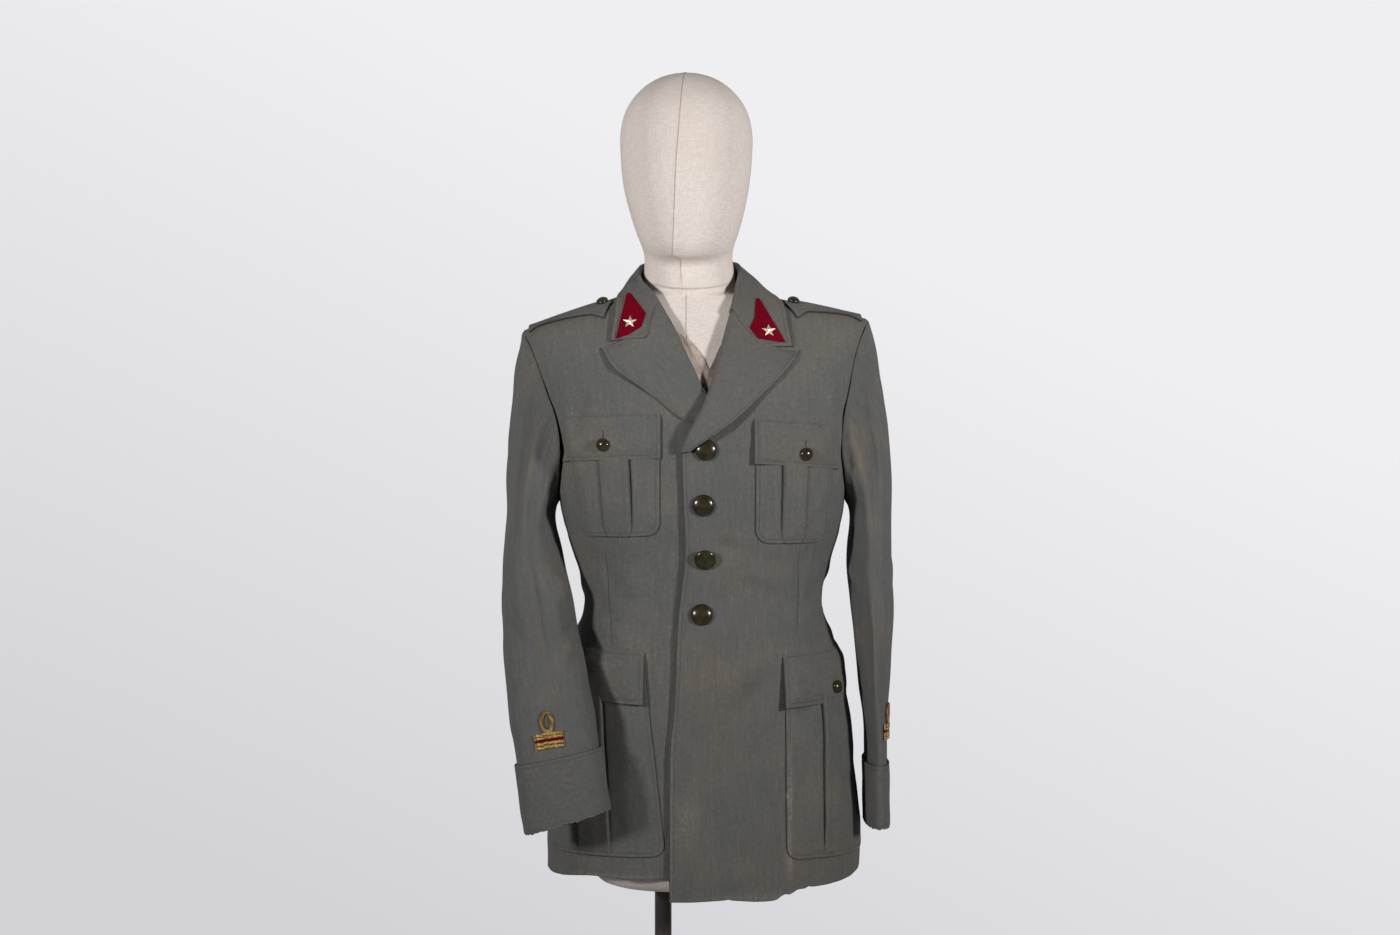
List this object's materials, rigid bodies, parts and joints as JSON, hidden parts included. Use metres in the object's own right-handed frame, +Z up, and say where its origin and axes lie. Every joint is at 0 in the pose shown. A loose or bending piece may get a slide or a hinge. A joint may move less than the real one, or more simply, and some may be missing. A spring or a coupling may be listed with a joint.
{
  "type": "military uniform tunic on dress form",
  "caption": "Single-breasted wool uniform tunic with patch pockets and shoulder straps, worn by a limbless linen dress form on a round stand.",
  "frame": {"origin": "centre of the stand base's underside", "axes": "+Z up, the tunic faces -Y, and +X is the wearer's left"},
  "size_m": [0.4818, 0.3347, 1.424],
  "materials": {
    "uniform_cloth": "grey-green wool gabardine, worn and faded",
    "patch_cloth": "crimson felt",
    "form_linen": "cream linen, drawn tight over a hard form",
    "button": "dark olive-brown, glossy and domed",
    "brass": "pale worn brass",
    "gold_wire": "tarnished gold wire embroidery",
    "stand_metal": "dark grey-brown, satin"
  },
  "bodies": {
    "root": {"back_left": "uniform_cloth", "back_right": "uniform_cloth", "chest_button_left": "button", "chest_button_right": "button", "chest_flap_left": "uniform_cloth", "chest_flap_right": "uniform_cloth", "chest_pocket_left": "uniform_cloth", "chest_pocket_right": "uniform_cloth", "collar": "uniform_cloth", "collar_patch_left": "patch_cloth", "collar_patch_right": "patch_cloth", "collar_star_left": "brass", "collar_star_right": "brass", "cuff_left": "uniform_cloth", "cuff_right": "uniform_cloth", "form_head": "form_linen", "form_torso": "form_linen", "front_button_1": "button", "front_button_2": "button", "front_button_3": "button", "front_button_4": "button", "front_left": "uniform_cloth", "front_right": "uniform_cloth", "hip_button_left": "button", "hip_button_right": "button", "hip_flap_left": "uniform_cloth", "hip_flap_right": "uniform_cloth", "hip_pocket_left": "uniform_cloth", "hip_pocket_right": "uniform_cloth", "lapel_left": "uniform_cloth", "lapel_right": "uniform_cloth", "rank_badge_left": "gold_wire", "rank_badge_right": "gold_wire", "shoulder_strap_left": "uniform_cloth", "shoulder_strap_right": "uniform_cloth", "sleeve_left": "uniform_cloth", "sleeve_right": "uniform_cloth", "stand_base": "stand_metal", "stand_pole": "stand_metal", "strap_button_left": "button", "strap_button_right": "button"}
  },
  "joints": []
}
